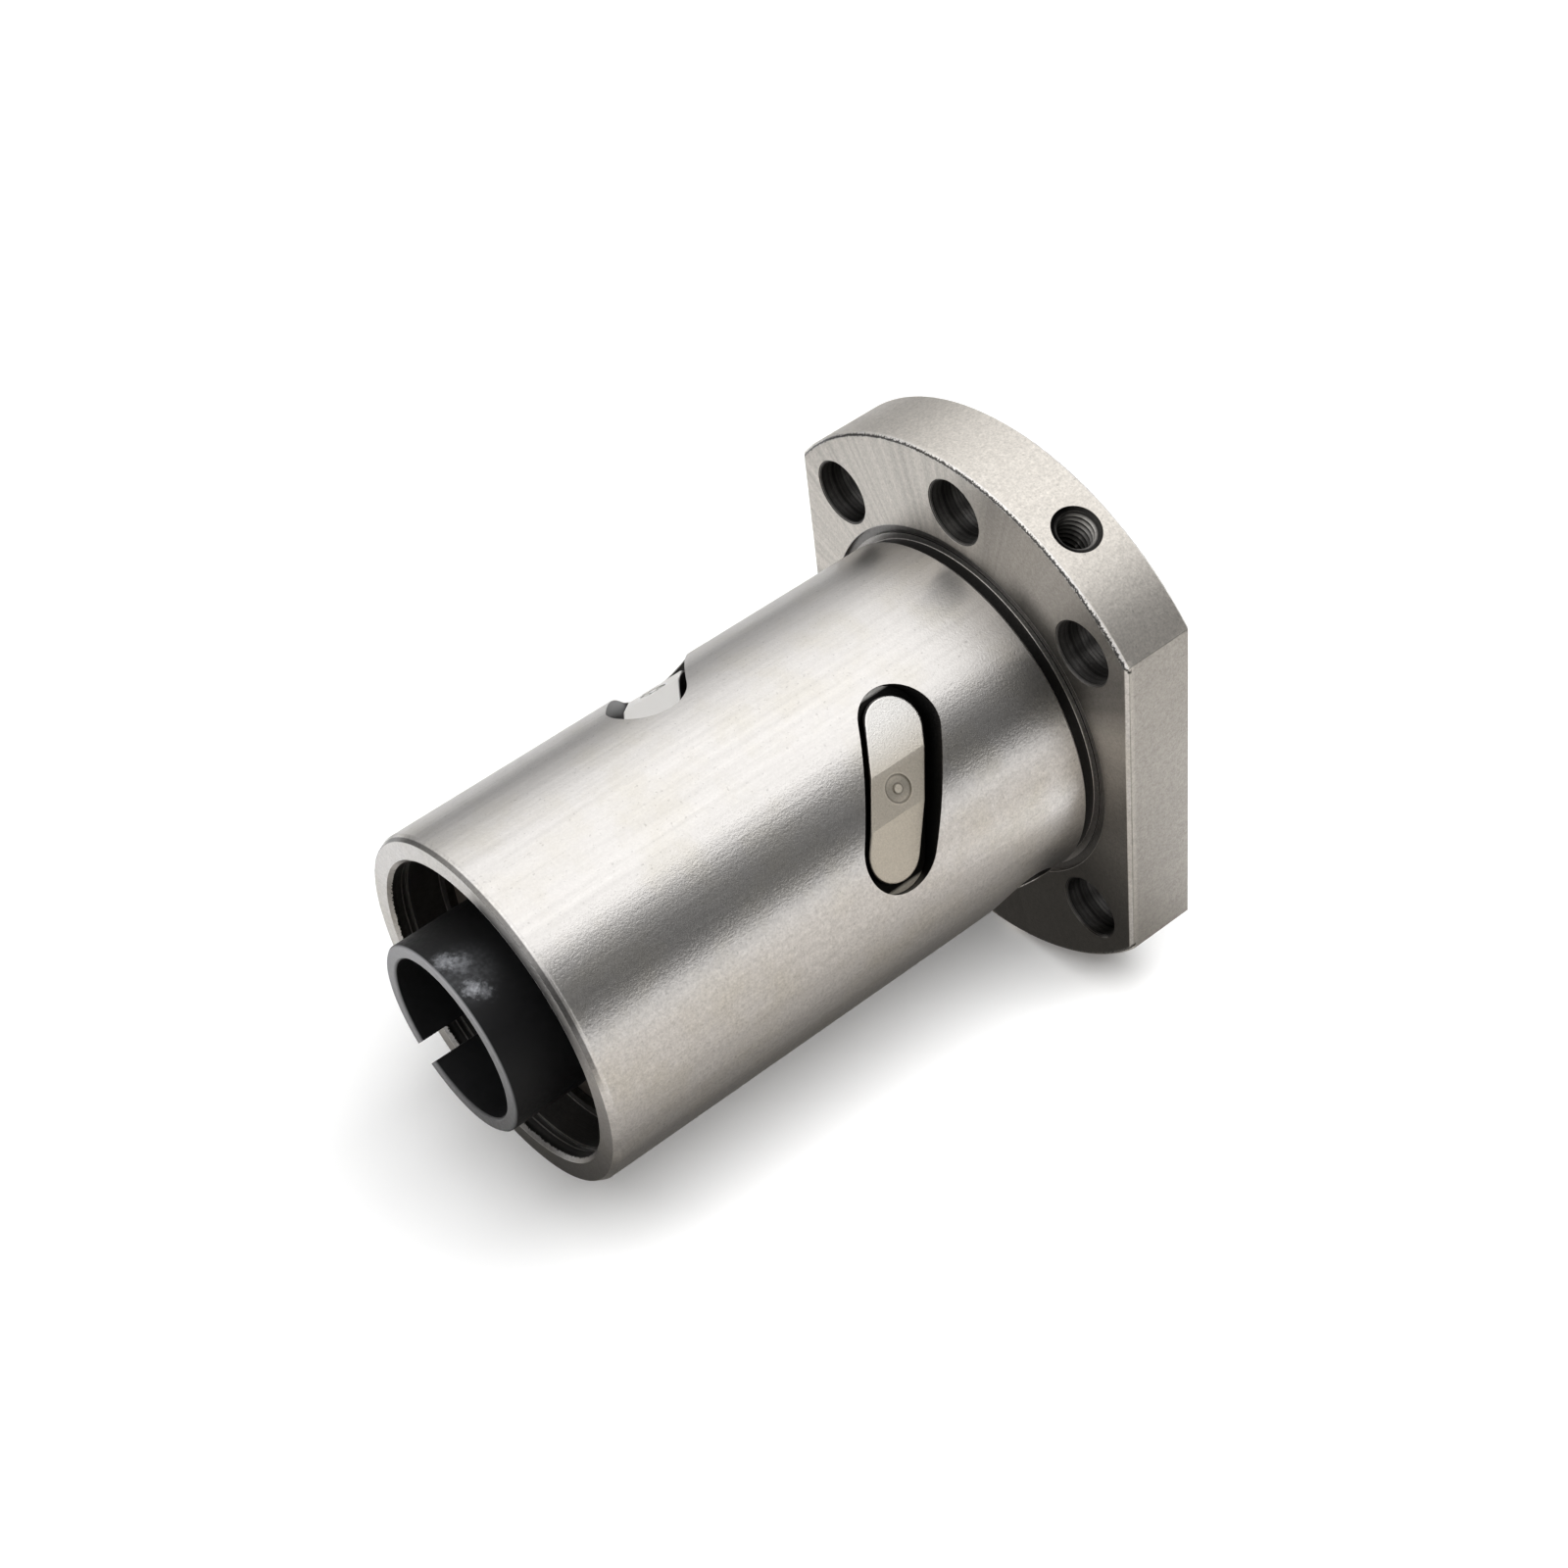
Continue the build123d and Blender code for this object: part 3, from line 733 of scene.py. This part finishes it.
def wrapped_faces(rows, columns):
    """Quads of a grid that closes on itself both ways: point (i, j) is i * columns + j."""
    i, j = np.meshgrid(np.arange(rows), np.arange(columns), indexing="ij")
    k, m = (i + 1) % rows, (j + 1) % columns
    quads = [i * columns + j, k * columns + j, k * columns + m, i * columns + m]
    return np.stack(quads, -1).reshape(-1, 4)


def port_thread():
    """Thread of the lubrication port, M6 with a pitch of 1 mm. On the inside, the radius
    at depth d and turn t is the crest's plus the thread's depth times the distance of
    d / pitch - t / 2 pi from the nearest whole number, doubled. Its back is a cylinder
    just inside the steel, and the two meet at both ends."""
    depths, turns = 241, 64
    along = np.linspace(THREAD_TOP, THREAD_BOTTOM, depths)
    turn = np.linspace(0, 2 * np.pi, turns, endpoint=False)
    d, t = np.meshgrid(along, turn, indexing="ij")
    phase = (d / THREAD_PITCH - t / (2 * np.pi)) % 1.0
    tooth = np.abs(2 * phase - 1)
    radius = THREAD_CREST + (THREAD_ROOT - THREAD_CREST) * tooth
    inside = np.stack([d, radius * np.cos(t), radius * np.sin(t)], -1)
    back = np.stack([d, THREAD_BACK * np.cos(t), THREAD_BACK * np.sin(t)], -1)
    outside = back[[-1, 0]]
    rings = np.concatenate([inside, outside])
    points = (
        np.array([PORT_X, 0, 0])
        + rings[..., :1] * np.array(PORT_OUTWARD)
        + rings[..., 1:2] * np.array([1.0, 0, 0])
        + rings[..., 2:] * np.array(PORT_SIDEWAYS)
    )
    faces = wrapped_faces(*rings.shape[:2])
    return points.reshape(-1, 3) * MM, faces


thread = surface_mesh("port_thread", *port_thread(), steel)
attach(thread, "nut")


def seen_directly(tree):
    """1 for the rays that show a surface: the camera's, reflections and glass."""
    kinds = ("Is Camera Ray", "Is Glossy Ray", "Is Transmission Ray")
    rays = [add(tree, "ShaderNodeLightPath", output=kind) for kind in kinds]
    return any_of(tree, *rays)


def floor_material(name, colour, glow, near, far):
    """Matte surface in that colour. Where it is seen or reflected it glows: by that much
    within the near distance of the nut, in metres, then more, up to white beyond the far
    one, where the lamp no longer reaches."""
    material, tree = empty_material(name)
    lit = add(tree, "ShaderNodeBsdfDiffuse", {"Color": colour})
    place = add(tree, "ShaderNodeTexCoord", output="Object")
    away = add(tree, "ShaderNodeVectorMath", {0: place}, **LENGTH)
    brightness = {0: away, 1: near, 2: far, 3: glow, 4: 1.0}
    brightness = add(tree, "ShaderNodeMapRange", brightness)
    strength = all_of(tree, seen_directly(tree), brightness)
    shine = add(tree, "ShaderNodeEmission", {"Strength": strength})
    end_with(tree, add(tree, "ShaderNodeAddShader", {0: lit, 1: shine}))
    return material


def flat_sheet(name, corners, material):
    """A flat piece with four corners."""
    return surface_mesh(name, np.array(corners), np.array([[0, 1, 2, 3]]), material)


def card(name, corners, strength, colour="#ffffff"):
    """A flat card of even brightness that only reflections see."""
    material, tree = empty_material(name)
    shine = {"Color": linear(colour), "Strength": strength}
    end_with(tree, add(tree, "ShaderNodeEmission", shine))
    made = flat_sheet(name, corners, material)
    made.visible_camera = False
    made.visible_diffuse = False
    made.visible_shadow = False


def level_corners(x_from, x_to, y_from, y_to, z):
    """Corners of a level rectangle that faces up, in metres."""
    return [[x_from, y_from, z], [x_to, y_from, z], [x_to, y_to, z], [x_from, y_to, z]]


def card_corners(angle_from, angle_to, distance, length, middle_x):
    """Corners of a flat card along X, between two directions round the nut's axis, in
    degrees from +Y towards +Z, at that distance in metres."""
    start, end = math.radians(angle_from), math.radians(angle_to)
    return [
        [middle_x + side * length / 2, distance * math.cos(angle), distance * math.sin(angle)]
        for angle, side in ((start, -1), (start, 1), (end, 1), (end, -1))
    ]


# Floor under the flange's lowest point
floor_z = float(cad_box[0].z)
floor_reach = 4.0
floor_corners = level_corners(-floor_reach, floor_reach, -floor_reach, floor_reach, floor_z)
pale_floor = floor_material("pale floor", linear("#f6f6f6"), glow=0.1, near=0.25, far=0.8)
floor = flat_sheet("floor", floor_corners, pale_floor)

# What the ground body reflects, from in front of the nut over it to behind: name,
# from and to which direction, brightness
for name, angle_from, angle_to, strength in (
    ("dark card in front", 12, 37, 0.16),
    ("dark card edge 1", 37, 48, 0.25),
    ("dark card edge 2", 48, 57, 0.45),
    ("softbox front", 59, 110, 1.55),
    ("softbox back", 110, 126, 1.47),
    ("softbox end 1", 126, 138, 1.37),
    ("softbox end 2", 138, 150, 1.17),
    ("grey card behind 1", 150, 165, 0.8),
    ("grey card behind 2", 165, 178, 0.52),
):
    far_card = card_corners(angle_from, angle_to, distance=1.6, length=6.0, middle_x=-0.8)
    card(name, far_card, strength)
low_card = card_corners(172, 187.4, distance=0.3, length=1.4, middle_x=-0.2)
card("low grey card 1", low_card, 0.36)
lowest_card = card_corners(187.4, 198, distance=0.11, length=0.6, middle_x=-0.1)
card("low grey card 2", lowest_card, 0.53)

# The floor's shade under the nut as its metal reflects it, darkest in the middle: each
# card reaches further out than the one above it
shade_top = floor_z + 0.001
shade_step = 0.0002
for number, (x_from, x_to, y_from, y_to, strength) in enumerate(
    (
        (-0.016, 0.094, -0.016, 0.026, 0.12),
        (-0.018, 0.100, -0.024, 0.042, 0.29),
        (-0.020, 0.108, -0.034, 0.068, 0.54),
        (-0.022, 0.125, -0.050, 0.120, 0.78),
        (-0.500, 0.700, 0.100, 1.200, 0.88),
    )
):
    shade = level_corners(x_from, x_to, y_from, y_to, shade_top - shade_step * number)
    card(f"floor shade {number + 1}", shade, strength, "#fffaf4")

# White surroundings for the camera and for reflections, plainer for matt surfaces
world = bpy.data.worlds.new("studio")
bpy.context.scene.world = world
world.use_nodes = True
world.node_tree.nodes.clear()
seen = seen_directly(world.node_tree)
level = add(world.node_tree, "ShaderNodeMapRange", {0: seen, 3: 0.12, 4: 1.0})
white = {"Color": (1, 1, 1, 1), "Strength": level}
background = add(world.node_tree, "ShaderNodeBackground", white)
end_with(world.node_tree, background, "ShaderNodeOutputWorld")

# Overhead softbox
softbox = bpy.data.lights.new("overhead softbox", "AREA")
softbox.shape = "RECTANGLE"
softbox.size = 1.4
softbox.size_y = 0.9
softbox.energy = 27.0
softbox_place = bpy.data.objects.new("overhead softbox", softbox)
softbox_place.location = (0.1, 0.5, 1.1)
softbox_place.visible_glossy = False
bpy.context.scene.collection.objects.link(softbox_place)

# Camera, as fitted to the photograph: where it is, its right, up and backward directions
camera_position = Vector((0.18256715, 0.22188884, 0.26578027))
right = Vector((-0.76691869, 0.6346523, -0.09514302))
up = Vector((-0.49756098, -0.49440749, 0.71273719))
back = Vector((0.40530088, 0.59395092, 0.69494856))
camera = bpy.data.cameras.new("camera")
camera.lens = 66.84
camera.sensor_width = 36.0
camera_place = bpy.data.objects.new("camera", camera)
turn = Matrix((right, up, back)).transposed().to_4x4()
camera_place.matrix_world = Matrix.Translation(camera_position) @ turn
bpy.context.scene.collection.objects.link(camera_place)
bpy.context.scene.camera = camera_place

bpy.context.scene.view_settings.view_transform = "Standard"

bpy.context.view_layer.update()
